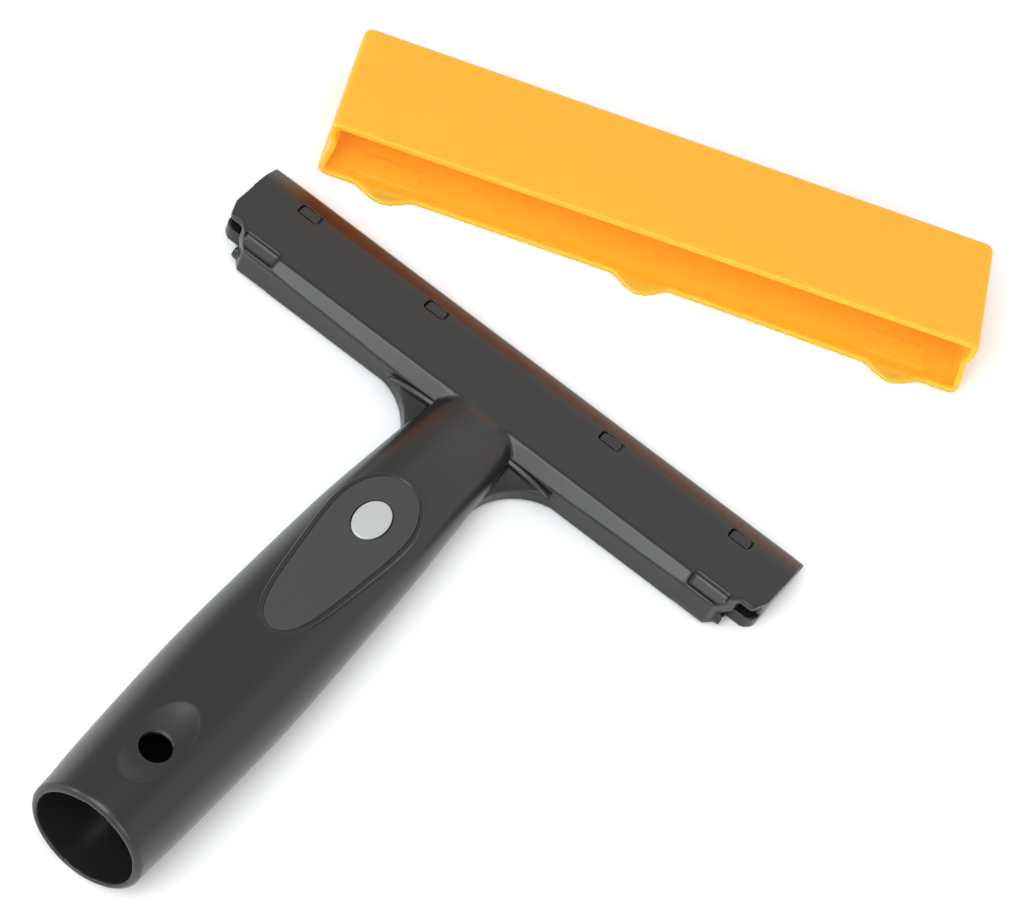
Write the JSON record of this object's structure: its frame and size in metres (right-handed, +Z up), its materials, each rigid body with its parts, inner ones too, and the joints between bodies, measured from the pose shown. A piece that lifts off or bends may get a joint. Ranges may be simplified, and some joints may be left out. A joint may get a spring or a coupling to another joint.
{
  "type": "glass scraper",
  "caption": "T-shaped glass scraper: wide head with a hinged clamp jaw around a thin blade, tapered hollow handle with a release button, and a separate sleeve blade cover.",
  "frame": {"origin": "middle of the clamp jaw's flat underside, which rests on the table", "axes": "+Y from the hollow handle towards the blade's edge, +X along the blade, +Z up"},
  "size_m": [0.1635, 0.2792, 0.028],
  "materials": {
    "black_plastic": "satin, fine moulded grain",
    "panel_plastic": "matte soft-touch grain",
    "button_silver": "satin silver",
    "blade_steel": "ground",
    "pin_steel": "blackened",
    "cover_plastic": "semi-gloss, slightly translucent"
  },
  "bodies": {
    "handle": {"handle_and_upper_jaw": "black_plastic", "grip_panel": "panel_plastic", "hinge_pin_left": "pin_steel", "hinge_pin_right": "pin_steel", "button_spring": "blade_steel"},
    "jaw": {"clamp_jaw": "black_plastic", "blade": "blade_steel"},
    "button": {"release_button": "button_silver", "button_stem": "black_plastic"},
    "latch": {"latch_bar": "black_plastic"},
    "cover": {"blade_cover": "cover_plastic"}
  },
  "joints": [
    {"name": "jaw_hinge", "type": "hinge", "parent": "handle", "child": "jaw", "pos_m": [0, -0.0113, 0.0023], "axis": [-1, 0, 0], "range_deg": [0, 70]},
    {"name": "button_slide", "type": "slide", "parent": "handle", "child": "button", "axis": [0, 0, -1], "range_m": [0, 0.0016], "stiffness_N_per_m": 500, "springref_m": -0.001, "deforming": ["button_spring"]},
    {"name": "latch_slide", "type": "slide", "parent": "handle", "child": "latch", "axis": [0, -1, 0], "range_m": [0, 0.00096]},
    {"name": "cover_slide", "type": "slide", "parent": "handle", "child": "cover", "axis": [-0.3859, 0.9225, 0], "range_m": [0, 0.034]}
  ],
  "couplings": [
    {"joint": "latch_slide", "follows": "button_slide", "ratio": 0.6}
  ]
}
